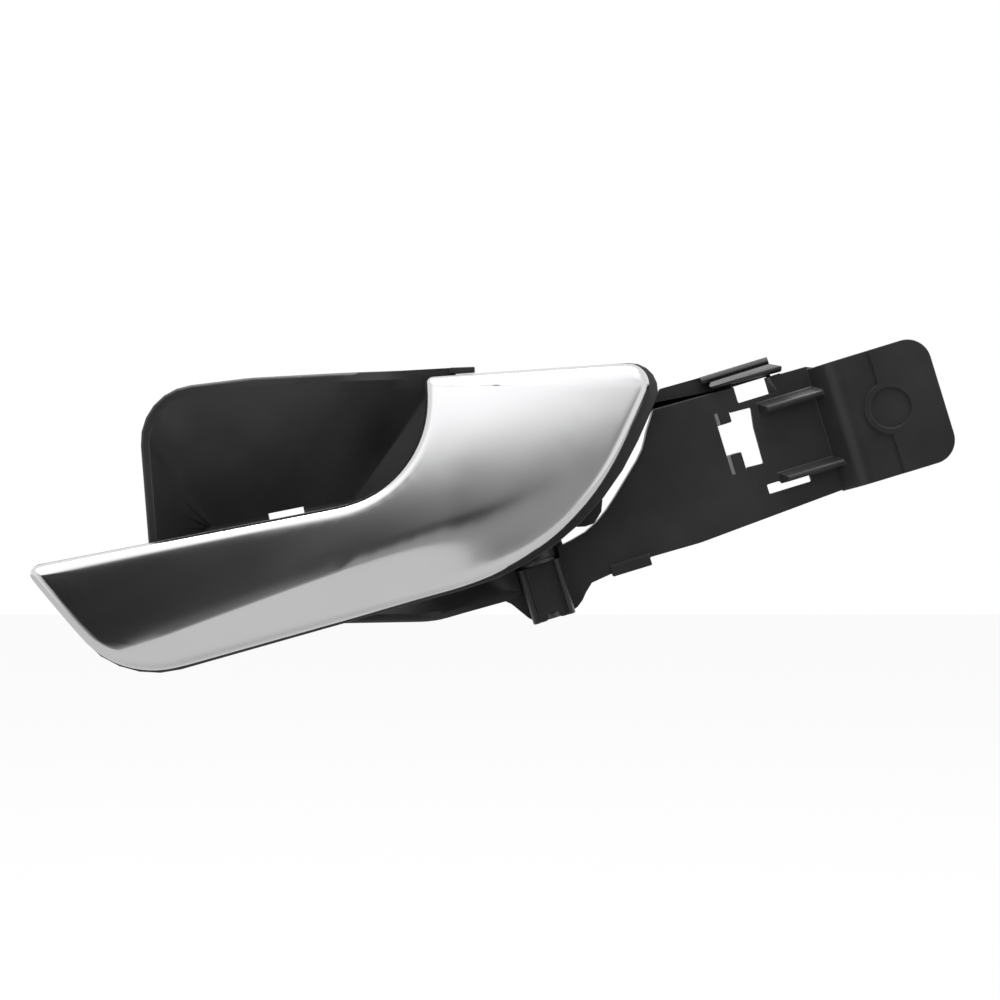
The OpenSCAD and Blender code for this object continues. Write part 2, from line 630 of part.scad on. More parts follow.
module arm() {
    sheet(-plate_front, plate_wall) difference() {
        polygon(plate_points);
        windows();
    }
    sheet(0.3 - plate_front, plate_front - 0.3) difference() {
        polygon(plate_points);
        offset(delta = -rib_wall) polygon(plate_points);
        translate([-wall_u - 6.5, -17]) square([7, 7]);
        translate([-15, -20]) square([20, 50]);
        windows();
    }
    // Set-back strip, rail and ledge above the plate
    sheet(strip_step - plate_front, 2.2) difference() {
        polygon([[-51.9, plate_top - 1], [-22.9, plate_top - 1], [-22.7, strip_top - 0.2],
                 [-48.4, strip_top + 0.4], [-51.4, plate_top + 0.4]]);
        windows();
    }
    translate([-38.8, 0, 0]) rotate([90, 0, 90]) linear_extrude(16.1)
        polygon([[1 - plate_front, strip_top - 0.9], [1.6 - plate_front, strip_top + 0.2],
                 [strip_step + 1 - plate_front, strip_top + 0.2], [strip_step + 1 - plate_front, strip_top - 1.6],
                 [1.6 - plate_front, strip_top - 1.6]]);
    intersection() {
        sheet(-1.2 - plate_front, 5) polygon([[-37.6, 16.8], [-36.9, 16.1], [-20.6, 15.3], [-20.3, 16.4],
                                              [-22.9, 17.8], [-36.9, 17.7]]);
        translate([-40, 0, 0]) rotate([90, 0, 90]) linear_extrude(21)
            polygon([[4 - plate_front, 15], [0.4 - plate_front, 15], [-1.2 - plate_front, 15.9],
                     [-1.2 - plate_front, 16.6], [0.6 - plate_front, 18.4], [4 - plate_front, 18.4]]);
    }
    // Slanting wall beside the upper window
    translate([0, 0, 11.1]) linear_extrude(3.9)
        polygon([[-22.6, 0.6 - plate_front], [-21, 0.6 - plate_front],
                 [-21, 5 - plate_front], [-24.6, 5 - plate_front]]);
    // Two bars that run from the windows to the pad, with a sloping top and a slanting end
    for (v = [7.3, -9.4]) intersection() {
        translate([-30, 0, v]) rotate([90, 0, 90]) linear_extrude(pad_left + 30.5)
            polygon([[-plate_front + 0.5, 0], [-plate_front + 0.5, 2.7], [-plate_front, 2.6],
                     [-plate_front - 2.7, 1.3], [-plate_front - bar_rise, 0.8], [-plate_front - bar_rise, 0]]);
        translate([0, 0, v - 1]) linear_extrude(5)
            polygon([[-28.4, -plate_front + 0.6], [-28.1, -plate_front - 0.4], [-26.6, -plate_front - bar_rise + 0.3],
                     [-25.9, -plate_front - bar_rise], [pad_left + 2, -plate_front - bar_rise],
                     [pad_left + 2, -plate_front + 0.6]]);
    }
    // Thick lower edge
    box([-71.4, -0.8 - plate_front, -18.6], [-62, -4, -16]);
    // Jaws that hold the cable's sheath
    jaw_low = cable_v - jaw_gap / 2;
    jaw_high = cable_v + jaw_gap / 2;
    jaw(window_low - 0.5, jaw_low);
    jaw(window_low + window_height + 0.5, jaw_high);
    // Cross ribs behind the plate
    for (u = [-47, -57]) box([u, -plate_front + 0.5, -arm_low + 0.3], [u + rib_wall, -1.5, u == -57 ? 5 : 14.5]);
}

module lugs() at_pivot() {
    difference() {
        union() {
            translate([0, 0, low_lug[0]]) linear_extrude(low_lug[1] - low_lug[0]) polygon([
                [-5, 4.4], [-5, -2.2], [-4.6, -3.6], [-3.6, -3.9], [-3.2, -2.6], [3.2, -2.6],
                [3.6, -3.9], [4.6, -3.6], [5, -2.2], [5, 4.4]]);
            translate([0, 0, top_lug[0]]) cylinder(r = bearing_r, h = top_lug[1] - top_lug[0]);
            box([-8.4, -2.6, top_lug[0]], [0, 3.5, top_lug[1]]);
        }
        translate([0, 0, low_lug[0] - 1]) cylinder(r = head_r + 0.15, h = head_thick + 1.2);
        translate([0, 0, low_lug[0] - 1]) cylinder(r = pin_r + fit, h = top_lug[1] - low_lug[0] + 2);
    }
}

// Rubber bumpers: heights of the two that carry the lever at rest
rest_heights = [14, -5];
rest_u = wall_u + land / 2;
bumper_r = 2;
bumper_thick = 2;
stem_r = 0.9;
stop_y = 8.9;
stop_gap = cable_arm_half + 0.3;

// Things on the cup that stand square to the arm
module cup_fittings() {
    in_arm() for (v = rest_heights)
        translate([-rest_u, rest_back(v) + bumper_thick - 0.5, v]) rotate([-90, 0, 0])
            cylinder(r = bumper_r + 0.6, h = -land_front + 3 - rest_back(v) - bumper_thick);
    at_pivot() {
        // Hook that takes the leg of the spring
        box([-11.5, 4, spring_low - 2], [-coil_r - wire_d / 2 - 0.15, 9, spring_low + 2]);
        // Block that carries the bumper at the end of the swing
        rotate([0, 0, travel / 2])
            box([-9.5, stop_y - 2.6, cable_v - 3], [-stop_gap - bumper_thick / 2, stop_y + 2.6, cable_v + 3]);
    }
    // End of the upper wall over the lever's top
    sheet(-top_lip_front, 5) translate(wall_top)
        polygon([[-0.90, -1.44], [4.90, -1.04], [4.90, 0.21], [-0.90, 0.01]]);
}

// Room cut in the housing for the bumpers, their stems and the swing of the cable arm
module swing_room() {
    in_arm() for (v = rest_heights) translate([-rest_u, rest_back(v), v]) rotate([-90, 0, 0]) seat_room();
    at_pivot() rotate([0, 0, travel / 2]) {
        translate([-stop_gap, stop_y, cable_v]) rotate([0, -90, 0]) seat_room();
        box([-stop_gap, 4, cable_v - cable_arm_thick / 2 - 0.4], [0, cable_arm_r, cable_v + cable_arm_thick / 2 + 0.4]);
        translate([0, cable_arm_r, cable_v - cable_arm_thick / 2 - 0.4])
            cylinder(r = nipple_r + 2, h = cable_arm_thick + 0.8);
    }
}
module seat_room() {
    translate([0, 0, -2]) cylinder(r = bumper_r + 0.05, h = bumper_thick + 2);
    cylinder(r = stem_r + fit, h = bumper_thick + 2.3);
}

module rubber_bumper() color(rubber) {
    cylinder(r = bumper_r, h = bumper_thick);
    translate([0, 0, bumper_thick - 0.5]) cylinder(r = stem_r, h = 2.5);
}
module rest_bumper(v) in_arm() translate([-rest_u, rest_back(v), v]) rotate([-90, 0, 0]) rubber_bumper();
module rest_bumper_upper() rest_bumper(rest_heights[0]);
module rest_bumper_lower() rest_bumper(rest_heights[1]);
module travel_bumper() at_pivot() rotate([0, 0, travel / 2])
    translate([-stop_gap, stop_y, cable_v]) rotate([0, -90, 0]) rubber_bumper();

// Slot through the bottom of the cup
slot_at = [-138.8, -1, -24.3];
slot_size = [8.4, 12, 1.9];
slot_lean = 11.3;

module housing() color(black) difference() {
    housing_body();
    translate(slot_at) rotate([0, -slot_lean, 0]) cube(slot_size, center = true);
    swing_room();
}

module housing_body() {
    cup();
    in_arm() {
        difference() {
            arm();
            translate([-pivot_u, -pivot_front, low_lug[0] - 1])
                cylinder(r = 3, h = top_lug[1] - low_lug[0] + 2);
        }
        pad();
        // Wall behind the lever's lower hub
        box([-wall_u - 0.8, -6.2, low_lug[1] - 2], [hub_r + 2.5 - pivot_u, -4.4, low_lug[1] + 7]);
        box([hub_r + 1.05 - pivot_u, -8, low_lug[1] - 2], [hub_r + 2.5 - pivot_u, -4.5, low_lug[1] + 3.5]);
    }
    lugs();
    cup_fittings();
}

housing();
lever_cover();
lever_core();
pivot_pin();
pin_clip();
bush_upper();
bush_lower();
return_spring();
rest_bumper_upper();
rest_bumper_lower();
travel_bumper();
cover_screw_upper();
cover_screw_lower();
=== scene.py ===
"""Looks of a car's interior door handle, laid out as an add-on and run as a script."""

import math

import bpy
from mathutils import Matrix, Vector


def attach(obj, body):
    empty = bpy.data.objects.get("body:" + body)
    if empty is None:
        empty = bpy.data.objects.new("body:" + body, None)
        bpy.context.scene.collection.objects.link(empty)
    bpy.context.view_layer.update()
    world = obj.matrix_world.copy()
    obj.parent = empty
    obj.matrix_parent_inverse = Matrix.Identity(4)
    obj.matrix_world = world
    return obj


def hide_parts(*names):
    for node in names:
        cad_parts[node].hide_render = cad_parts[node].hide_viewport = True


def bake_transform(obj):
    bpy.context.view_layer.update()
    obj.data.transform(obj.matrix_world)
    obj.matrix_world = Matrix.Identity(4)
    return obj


bl_info = {
    "name": "Interior Door Handle",
    "version": (1, 0, 0),
    "blender": (4, 5, 0),
    "location": "3D View > Sidebar > Handle",
    "description": "Dresses the lever, the cup and the arm of an interior door handle",
    "category": "Object",
}

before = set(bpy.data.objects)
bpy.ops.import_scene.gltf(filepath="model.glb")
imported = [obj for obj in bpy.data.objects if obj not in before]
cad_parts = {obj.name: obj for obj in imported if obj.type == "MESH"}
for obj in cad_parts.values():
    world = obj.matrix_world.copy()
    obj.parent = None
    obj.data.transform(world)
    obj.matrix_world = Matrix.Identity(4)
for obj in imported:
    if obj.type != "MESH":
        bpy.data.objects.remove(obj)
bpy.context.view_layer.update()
TILT = math.radians(17)
MIDDLE = Vector((-0.09, 0, -0.02))

# Mesh work: metres and degrees
SAME_PLACE = 0.000002
FLAT_WITHIN = 1.2
SMOOTH_WITHIN = 32
HOUSING_SHARP = 45
CARRIER_SHARP = 35
ROOM_PER_WIDTH = 1.6


class HandleSizes(bpy.types.PropertyGroup):
    """Sizes that finish the moulded and pressed pieces."""

    housing_edge: bpy.props.FloatProperty(
        name="Housing edge", description="Rounding on the edges of the moulded housing",
        default=0.00025, min=0.0, max=0.001, precision=5, unit="LENGTH")
    rim_edge: bpy.props.FloatProperty(
        name="Rim edge", description="Rounding on the outer edge of the finger cup's rim",
        default=0.0008, min=0.0, max=0.0012, precision=5, unit="LENGTH")
    carrier_edge: bpy.props.FloatProperty(
        name="Carrier edge", description="Rounding on the edges of the lever's carrier",
        default=0.0002, min=0.0, max=0.001, precision=5, unit="LENGTH")
    cover_levels: bpy.props.IntProperty(
        name="Cover smoothness", description="Subdivision levels of the lever's cover",
        default=2, min=0, max=3)
    facet_crispness: bpy.props.FloatProperty(
        name="Facet crispness", description="Edge crease between the lever's face and its facet",
        default=0.45, min=0.0, max=1.0, subtype="FACTOR")
    grain_height: bpy.props.FloatProperty(
        name="Grain height", description="Height of the grain on the black plastic",
        default=0.00003, min=0.0, max=0.0003, precision=6, unit="LENGTH")
    floor_drop: bpy.props.FloatProperty(
        name="Floor drop", description="How far the floor lies below the origin",
        default=0.15, min=0.08, max=1.0, unit="LENGTH")
    floor_front: bpy.props.FloatProperty(
        name="Floor front", description="How far the floor reaches ahead of the origin",
        default=0.28, min=0.05, max=2.0, unit="LENGTH")
    camera_distance: bpy.props.FloatProperty(
        name="Camera distance", description="Distance of the camera from the arm's front",
        default=0.7, min=0.3, max=3.0, unit="LENGTH")
    picture_width: bpy.props.FloatProperty(
        name="Picture width", description="Width of what the camera sees at the arm's front",
        default=0.23, min=0.1, max=1.0, unit="LENGTH")


class HandleColours(bpy.types.PropertyGroup):
    """Colours and finishes of the handle."""

    plastic: bpy.props.FloatVectorProperty(
        name="Black plastic", description="Colour of the housing and the carrier",
        default=(0.019, 0.019, 0.02), size=3, min=0.0, max=1.0, subtype="COLOR")
    # Painted light: the colour in the depth of the finger cup is made up to this many times
    # lighter, to lift the shade there
    painted_cup_light_gain: bpy.props.FloatProperty(
        name="Painted light in cup", description="How much painted light lifts the shade in the depth of the finger cup",
        default=2.9, min=1.0, max=5.0)
    plastic_shine: bpy.props.FloatProperty(
        name="Plastic roughness", description="Roughness of the black plastic",
        default=0.42, min=0.0, max=1.0, subtype="FACTOR")
    chrome: bpy.props.FloatVectorProperty(
        name="Satin chrome", description="Colour of the lever's cover",
        default=(0.7, 0.7, 0.71), size=3, min=0.0, max=1.0, subtype="COLOR")
    chrome_shine: bpy.props.FloatProperty(
        name="Chrome roughness", description="Roughness of the satin chrome",
        default=0.16, min=0.0, max=1.0, subtype="FACTOR")
    steel: bpy.props.FloatVectorProperty(
        name="Steel", description="Colour of the spring and the screws",
        default=(0.5, 0.5, 0.51), size=3, min=0.0, max=1.0, subtype="COLOR")
    dark_steel: bpy.props.FloatVectorProperty(
        name="Dark steel", description="Colour of the pin and its ring",
        default=(0.1, 0.1, 0.105), size=3, min=0.0, max=1.0, subtype="COLOR")
    bearing: bpy.props.FloatVectorProperty(
        name="Bearing plastic", description="Colour of the bushes",
        default=(0.05, 0.05, 0.052), size=3, min=0.0, max=1.0, subtype="COLOR")
    rubber: bpy.props.FloatVectorProperty(
        name="Rubber", description="Colour of the bumpers",
        default=(0.02, 0.02, 0.02), size=3, min=0.0, max=1.0, subtype="COLOR")


def deselect_all():
    if bpy.context.object and bpy.context.object.mode != "OBJECT":
        bpy.ops.object.mode_set(mode="OBJECT")
    bpy.ops.object.select_all(action="DESELECT")


def choose(piece):
    """Makes one piece the only selected and active one."""
    deselect_all()
    piece.select_set(True)
    bpy.context.view_layer.objects.active = piece


def copy_of_node(node, name):
    """A free copy of a solid from the frame, with its loose triangles merged."""
    piece = bpy.data.objects.new(name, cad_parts[node].data.copy())
    piece.data.name = name
    bpy.context.scene.collection.objects.link(piece)
    choose(piece)
    bpy.ops.object.mode_set(mode="EDIT")
    bpy.ops.mesh.select_all(action="SELECT")
    bpy.ops.mesh.remove_doubles(threshold=SAME_PLACE)
    bpy.ops.mesh.normals_make_consistent(inside=False)
    bpy.ops.object.mode_set(mode="OBJECT")
    if piece.data.has_custom_normals:
        bpy.ops.mesh.customdata_custom_splitnormals_clear()
    return piece


def apply_modifiers(piece):
    choose(piece)
    for modifier in list(piece.modifiers):
        bpy.ops.object.modifier_apply(modifier=modifier.name)


def merge_flats(piece):
    """Joins the triangles of each flat face."""
    choose(piece)
    bpy.ops.object.mode_set(mode="EDIT")
    bpy.ops.mesh.select_all(action="SELECT")
    bpy.ops.mesh.dissolve_limited(angle_limit=math.radians(FLAT_WITHIN))
    bpy.ops.object.mode_set(mode="OBJECT")


def faces_beside(mesh):
    """The normals of the faces at each edge."""
    beside = {}
    for face in mesh.polygons:
        for key in face.edge_keys:
            beside.setdefault(key, []).append(face.normal.copy())
    return beside


def room_at_ends(mesh):
    """For each edge, the length of the shortest edge that meets it."""
    corners = mesh.vertices
    meeting = [[] for _ in corners]
    for edge in mesh.edges:
        length = (corners[edge.vertices[0]].co - corners[edge.vertices[1]].co).length
        for i in edge.vertices:
            meeting[i].append((length, edge.index))
    shortest = [sorted(edges)[:2] for edges in meeting]
    return [min(length for i in edge.vertices for length, other in shortest[i]
                if other != edge.index)
            for edge in mesh.edges]


def round_edges(piece, chosen, width, segments):
    """Rounds the edges for which chosen says so."""
    choose(piece)
    bpy.ops.object.mode_set(mode="EDIT")
    bpy.ops.mesh.select_mode(type="EDGE")
    bpy.ops.mesh.select_all(action="DESELECT")
    bpy.ops.object.mode_set(mode="OBJECT")
    found = [edge for edge in piece.data.edges if chosen(edge)]
    if not found:
        raise RuntimeError("no edges to round on " + piece.name)
    for edge in found:
        edge.select = True
    bpy.ops.object.mode_set(mode="EDIT")
    bpy.ops.mesh.bevel(offset=width, segments=segments, affect="EDGES", clamp_overlap=False)
    bpy.ops.mesh.select_all(action="SELECT")
    bpy.ops.mesh.remove_doubles(threshold=SAME_PLACE)
    bpy.ops.mesh.dissolve_degenerate(threshold=SAME_PLACE)
    bpy.ops.object.mode_set(mode="OBJECT")


# Where the finger cup's rim lies, and which part of it the lever hides
CUP_MIDDLE = Vector((-0.135, 0, -0.022))
RIM_BACK_Y = -0.0118
RIM_RIGHT_X = -0.09
HIDDEN_X = -0.1
HIDDEN_Z = -0.005


def round_rim(piece, width):
    """Rounds the outer edge of the finger cup's rim."""
    mesh = piece.data
    beside = faces_beside(mesh)

    def on_rim(edge):
        sides = beside.get(edge.key, [])
        if len(sides) != 2:
            return False
        ends = [mesh.vertices[i].co for i in edge.vertices]
        front, side = sorted(sides, key=lambda normal: normal.y)
        in_sight = ends[0].x < HIDDEN_X or HIDDEN_Z < ends[0].z
        in_front = ends[0].x < RIM_RIGHT_X and max(end.y for end in ends) < RIM_BACK_Y
        upright = front.y < -0.9 and abs(side.y) < 0.35 and side.x < 0.5
        outward = all(side.dot(end - CUP_MIDDLE) > 0 for end in ends)
        return in_sight and in_front and upright and outward

    round_edges(piece, on_rim, width, segments=3)


def soften_edges(piece, width, angle, segments=2):
    """Rounds the sharp edges that have room for it."""
    merge_flats(piece)
    mesh = piece.data
    beside = faces_beside(mesh)
    room = room_at_ends(mesh)

    def sharp(edge):
        sides = beside.get(edge.key, [])
        return (len(sides) == 2 and sides[0].angle(sides[1], 0.0) > math.radians(angle)
                and room[edge.index] > ROOM_PER_WIDTH * width)

    round_edges(piece, sharp, width, segments)
    bpy.ops.object.shade_smooth_by_angle(angle=math.radians(SMOOTH_WITHIN))
    flats = piece.modifiers.new("Flats", "WEIGHTED_NORMAL")
    flats.keep_sharp = True
    apply_modifiers(piece)


def new_material(name):
    """An empty node material with its principled shader."""
    material = bpy.data.materials.new(name)
    material.use_nodes = True
    nodes = material.node_tree.nodes
    return material, nodes, material.node_tree.links, nodes["Principled BSDF"]


def object_noise(nodes, links, scale, detail, place=None):
    """A noise that reads the piece's own coordinates."""
    place = place or nodes.new("ShaderNodeTexCoord").outputs["Object"]
    noise = nodes.new("ShaderNodeTexNoise")
    noise.inputs["Scale"].default_value = scale
    noise.inputs["Detail"].default_value = detail
    links.new(place, noise.inputs["Vector"])
    return noise


def spread(nodes, links, source, low, high):
    """Maps the usual values of a noise to a range."""
    span = nodes.new("ShaderNodeMapRange")
    span.inputs["From Min"].default_value = 0.3
    span.inputs["From Max"].default_value = 0.7
    span.inputs["To Min"].default_value = low
    span.inputs["To Max"].default_value = high
    links.new(source, span.inputs["Value"])
    return span.outputs["Result"]


def tinted(nodes, links, source, colour, low, high):
    """The colour, darker and lighter with a noise."""
    ramp = nodes.new("ShaderNodeValToRGB")
    for stop, position, gain in zip(ramp.color_ramp.elements, (0.35, 0.65), (low, high)):
        stop.position = position
        stop.color = (*[c * gain for c in colour], 1)
    links.new(source, ramp.inputs["Fac"])
    return ramp.outputs["Color"]


def add_bump(nodes, links, shader, source, strength, distance):
    """Bends the shader's normal with a noise."""
    bump = nodes.new("ShaderNodeBump")
    bump.inputs["Strength"].default_value = strength
    bump.inputs["Distance"].default_value = distance
    links.new(source.outputs["Fac"], bump.inputs["Height"])
    links.new(bump.outputs["Normal"], shader.inputs["Normal"])


# Middle and reach of the painted light that lifts the shade in the depth of the finger cup
PAINTED_LIGHT_MIDDLE = Vector((-0.137, 0, -0.021))
PAINTED_LIGHT_REACH = 0.045


def with_painted_cup_light(nodes, links, place, colour, factor):
    """The colour, painted lighter towards the depth of the cup on the faces that look to the
    front: painted light that lifts the shade there.
    """
    flat = nodes.new("ShaderNodeVectorMath")
    flat.operation = "MULTIPLY"
    flat.inputs[1].default_value = (1, 0, 1)
    links.new(place, flat.inputs[0])
    away = nodes.new("ShaderNodeVectorMath")
    away.operation = "DISTANCE"
    away.inputs[1].default_value = PAINTED_LIGHT_MIDDLE
    links.new(flat.outputs["Vector"], away.inputs[0])
    gain = nodes.new("ShaderNodeMapRange")
    gain.interpolation_type = "SMOOTHSTEP"
    gain.inputs["From Min"].default_value = 0.0
    gain.inputs["From Max"].default_value = PAINTED_LIGHT_REACH
    gain.inputs["To Min"].default_value = factor
    gain.inputs["To Max"].default_value = 1.0
    links.new(away.outputs["Value"], gain.inputs["Value"])
    facing = nodes.new("ShaderNodeSeparateXYZ")
    links.new(nodes.new("ShaderNodeTexCoord").outputs["Normal"], facing.inputs["Vector"])
    front = combined(nodes, links, "MULTIPLY", facing.outputs["Y"], -1.0)
    front = smooth_step(nodes, links, front, 0.0, 0.4)
    more = combined(nodes, links, "SUBTRACT", gain.outputs["Result"], 1.0)
    more = combined(nodes, links, "MULTIPLY", more, front)
    scaled = nodes.new("ShaderNodeVectorMath")
    scaled.operation = "SCALE"
    links.new(colour, scaled.inputs[0])
    links.new(combined(nodes, links, "ADD", more, 1.0), scaled.inputs["Scale"])
    return scaled.outputs["Vector"]


def moulded_plastic(name, colour, roughness, grain, painted_cup_light_gain=1.0):
    """Black moulded plastic with a fine grain and slight changes of gloss, and painted light that
    lifts the shade in the depth of the finger cup when its gain is above one.
    """
    material, nodes, links, shader = new_material(name)
    place = nodes.new("ShaderNodeTexCoord").outputs["Object"]
    cloud = object_noise(nodes, links, 60, 3, place)
    grains = object_noise(nodes, links, 2600, 2, place)
    tint = tinted(nodes, links, cloud.outputs["Fac"], colour, 0.85, 1.15)
    # Painted light: the colour is made lighter towards the depth of the finger cup, in place of
    # the shade there
    if painted_cup_light_gain > 1:
        tint = with_painted_cup_light(nodes, links, place, tint, painted_cup_light_gain)
    links.new(tint, shader.inputs["Base Color"])
    links.new(spread(nodes, links, cloud.outputs["Fac"], roughness - 0.05, roughness + 0.06),
              shader.inputs["Roughness"])
    add_bump(nodes, links, shader, grains, 0.5, grain)
    shader.inputs["Specular IOR Level"].default_value = 0.42
    return material


def satin_chrome(name, colour, roughness):
    """Satin plating with a fine haze and faint clouding."""
    material, nodes, links, shader = new_material(name)
    place = nodes.new("ShaderNodeTexCoord").outputs["Object"]
    cloud = object_noise(nodes, links, 25, 2, place)
    haze = object_noise(nodes, links, 5200, 1, place)
    links.new(tinted(nodes, links, cloud.outputs["Fac"], colour, 0.985, 1.015),
              shader.inputs["Base Color"])
    links.new(spread(nodes, links, cloud.outputs["Fac"], roughness - 0.012, roughness + 0.012),
              shader.inputs["Roughness"])
    add_bump(nodes, links, shader, haze, 0.12, 0.000006)
    shader.inputs["Metallic"].default_value = 1.0
    return material


def turned_steel(name, colour, roughness, scale):
    """Steel with fine marks."""
    material, nodes, links, shader = new_material(name)
    place = nodes.new("ShaderNodeTexCoord").outputs["Object"]
    stretch = nodes.new("ShaderNodeMapping")
    stretch.inputs["Rotation"].default_value = (0, TILT, 0)
    stretch.inputs["Scale"].default_value = (1, 1, 6)
    links.new(place, stretch.inputs["Vector"])
    marks = object_noise(nodes, links, scale, 3, stretch.outputs["Vector"])
    links.new(tinted(nodes, links, marks.outputs["Fac"], colour, 0.85, 1.1),
              shader.inputs["Base Color"])
    links.new(spread(nodes, links, marks.outputs["Fac"], roughness - 0.07, roughness + 0.1),
              shader.inputs["Roughness"])
    shader.inputs["Metallic"].default_value = 1.0
    return material


def plain_moulding(name, colour, roughness, scale):
    """Smooth small moulding in plastic or rubber."""
    material, nodes, links, shader = new_material(name)
    skin = object_noise(nodes, links, scale, 3)
    links.new(tinted(nodes, links, skin.outputs["Fac"], colour, 0.85, 1.15),
              shader.inputs["Base Color"])
    links.new(spread(nodes, links, skin.outputs["Fac"], roughness - 0.06, roughness + 0.06),
              shader.inputs["Roughness"])
    add_bump(nodes, links, shader, skin, 0.3, 0.00002)
    return material


def paint(piece, material):
    piece.data.materials.clear()
    piece.data.materials.append(material)


class HANDLE_OT_housing(bpy.types.Operator):
    """Moulded housing with softened edges, grain and painted light in the cup's depth"""

    bl_idname = "handle.housing"
    bl_label = "Housing"

    def execute(self, context):
        sizes, colours = context.scene.handle_sizes, context.scene.handle_colours
        piece = copy_of_node("housing", "moulded_housing")
        merge_flats(piece)
        round_rim(piece, sizes.rim_edge)
        soften_edges(piece, sizes.housing_edge, HOUSING_SHARP)
        # The housing's plastic carries painted light in the depth of the finger cup
        paint(piece, moulded_plastic("Grained black plastic", colours.plastic,
                                     colours.plastic_shine, sizes.grain_height, colours.painted_cup_light_gain))
        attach(piece, "housing")
        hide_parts("housing")
        return {"FINISHED"}


# The line between the lever's face and facet, and how near a corner has to be to count as on it
FACET_LINE = (Vector((-0.1738, 0, -0.0552)), Vector((-0.0634, 0, -0.0142)))
FACET_LEAD = 0.003
FACET_NEAR = 0.0002

# Angles of the cover's mesh in degrees
QUAD_FACE, QUAD_SHAPE = 40, 60
COVER_SHARP = 50
COVER_SMOOTH = 40


def select_facet_line(piece):
    """Selects the front edges of the cover that lie on the line between face and facet."""
    start, end = FACET_LINE
    along = (end - start).normalized()
    mesh = piece.data

    def on_line(corner):
        flat = Vector((corner.x, 0, corner.z)) - start
        share = flat.dot(along)
        near = (flat - along * share).length < FACET_NEAR
        return near and -FACET_LEAD < share < (end - start).length

    for edge in mesh.edges:
        ends = [mesh.vertices[i] for i in edge.vertices]
        edge.select = all(on_line(e.co) and e.normal.y < -0.5 for e in ends)


class HANDLE_OT_cover(bpy.types.Operator):
    """Satin cover of the lever, smoothed to a flowing surface"""

    bl_idname = "handle.cover"
    bl_label = "Lever cover"

    def execute(self, context):
        sizes, colours = context.scene.handle_sizes, context.scene.handle_colours
        piece = copy_of_node("lever_cover", "satin_cover")
        choose(piece)
        bpy.ops.object.mode_set(mode="EDIT")
        bpy.ops.mesh.select_all(action="SELECT")
        bpy.ops.mesh.tris_convert_to_quads(face_threshold=math.radians(QUAD_FACE),
                                           shape_threshold=math.radians(QUAD_SHAPE))
        bpy.ops.mesh.select_all(action="DESELECT")
        bpy.ops.mesh.edges_select_sharp(sharpness=math.radians(COVER_SHARP))
        bpy.ops.transform.edge_crease(value=0.9)
        bpy.ops.mesh.select_all(action="DESELECT")
        bpy.ops.mesh.select_mode(type="EDGE")
        bpy.ops.object.mode_set(mode="OBJECT")
        select_facet_line(piece)
        bpy.ops.object.mode_set(mode="EDIT")
        bpy.ops.transform.edge_crease(value=sizes.facet_crispness)
        bpy.ops.object.mode_set(mode="OBJECT")
        smooth = piece.modifiers.new("Flow", "SUBSURF")
        smooth.levels = sizes.cover_levels
        smooth.render_levels = sizes.cover_levels
        apply_modifiers(piece)
        bpy.ops.object.shade_smooth_by_angle(angle=math.radians(COVER_SMOOTH))
        paint(piece, satin_chrome("Satin chrome plating", colours.chrome, colours.chrome_shine))
        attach(piece, "lever")
        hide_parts("lever_cover")
        return {"FINISHED"}


class HANDLE_OT_carrier(bpy.types.Operator):
    """Black carrier behind the cover"""

    bl_idname = "handle.carrier"
    bl_label = "Lever carrier"

    def execute(self, context):
        sizes, colours = context.scene.handle_sizes, context.scene.handle_colours
        piece = copy_of_node("lever_core", "lever_carrier")
        soften_edges(piece, sizes.carrier_edge, CARRIER_SHARP, segments=1)
        paint(piece, moulded_plastic("Smooth black plastic", colours.plastic,
                                     colours.plastic_shine - 0.06, sizes.grain_height * 0.5))
        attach(piece, "lever")
        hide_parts("lever_core")
        return {"FINISHED"}


class HANDLE_OT_spring(bpy.types.Operator):
    """Torsion spring between housing and lever, smoothed and finished in steel"""

    bl_idname = "handle.spring"
    bl_label = "Return spring"

    def execute(self, context):
        colours = context.scene.handle_colours
        piece = copy_of_node("return_spring", "torsion_spring")
        bpy.ops.object.shade_smooth_by_angle(angle=math.radians(60))
        paint(piece, turned_steel("Spring wire", colours.steel, 0.3, 900))
        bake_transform(piece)
        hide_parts("return_spring")
        return {"FINISHED"}


class HANDLE_OT_small_parts(bpy.types.Operator):
    """Finishes of the pin, ring, screws, bushes and bumpers"""

    bl_idname = "handle.small_parts"
    bl_label = "Pin, screws, bushes and bumpers"

    def execute(self, context):
        colours = context.scene.handle_colours
        steel = turned_steel("Turned steel", colours.steel, 0.28, 700)
        dark_steel = turned_steel("Phosphated steel", colours.dark_steel, 0.4, 700)
        bearing = plain_moulding("Bearing plastic", colours.bearing, 0.45, 800)
        rubber = plain_moulding("Bumper rubber", colours.rubber, 0.75, 1500)
        finishes = {"pivot_pin": dark_steel, "pin_clip": dark_steel,
                    "cover_screw_upper": steel, "cover_screw_lower": steel,
                    "bush_upper": bearing, "bush_lower": bearing,
                    "rest_bumper_upper": rubber, "rest_bumper_lower": rubber,
                    "travel_bumper": rubber}
        for node, material in finishes.items():
            paint(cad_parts[node], material)
        return {"FINISHED"}


def seen_rays(nodes, links):
    """Two shares: rays from the camera, and rays from gloss or through glass."""
    path = nodes.new("ShaderNodeLightPath")
    gloss = combined(nodes, links, "MAXIMUM", path.outputs["Is Glossy Ray"],
                     path.outputs["Is Transmission Ray"])
    return path.outputs["Is Camera Ray"], gloss


